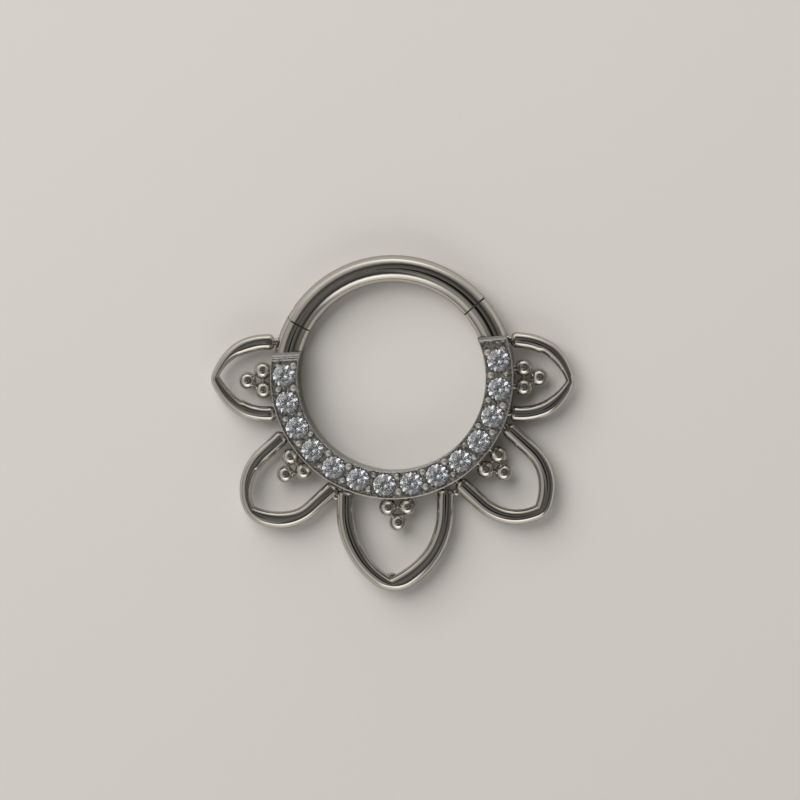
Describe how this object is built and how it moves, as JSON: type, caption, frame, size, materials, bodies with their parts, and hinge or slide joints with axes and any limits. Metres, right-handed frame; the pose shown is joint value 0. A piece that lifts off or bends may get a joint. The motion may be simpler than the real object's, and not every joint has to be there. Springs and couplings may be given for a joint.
{
  "type": "segment ring",
  "caption": "Hinged body jewellery ring with a plain round-wire segment, a stone-set band around its lower side and pointed wire petals with bead clusters around the band.",
  "frame": {"origin": "centre of the ring, on the flat plane that its back rests on", "axes": "+Z along the ring's axis, towards the stones; +Y from the centre towards the middle of the plain segment; +X completes the set, towards the catch end of the segment"},
  "size_m": [0.0165, 0.0148, 0.0015],
  "materials": {
    "titanium": "polished implant-grade titanium",
    "pin_steel": "drawn pin",
    "stone": "faceted clear stone, colourless with a cool lilac cast"
  },
  "bodies": {
    "frame": {"frame": "titanium", "hinge_pin": "pin_steel", "stone_01": "stone", "stone_02": "stone", "stone_03": "stone", "stone_04": "stone", "stone_05": "stone", "stone_06": "stone", "stone_07": "stone", "stone_08": "stone", "stone_09": "stone", "stone_10": "stone", "stone_11": "stone", "stone_12": "stone", "stone_13": "stone", "stone_14": "stone"},
    "segment": {"segment": "titanium"}
  },
  "joints": [
    {"name": "segment_hinge", "type": "hinge", "parent": "frame", "child": "segment", "pos_m": [-0.00432, 0.00268, 0.00065], "axis": [0, 0, 1], "range_deg": [0, 75]}
  ]
}
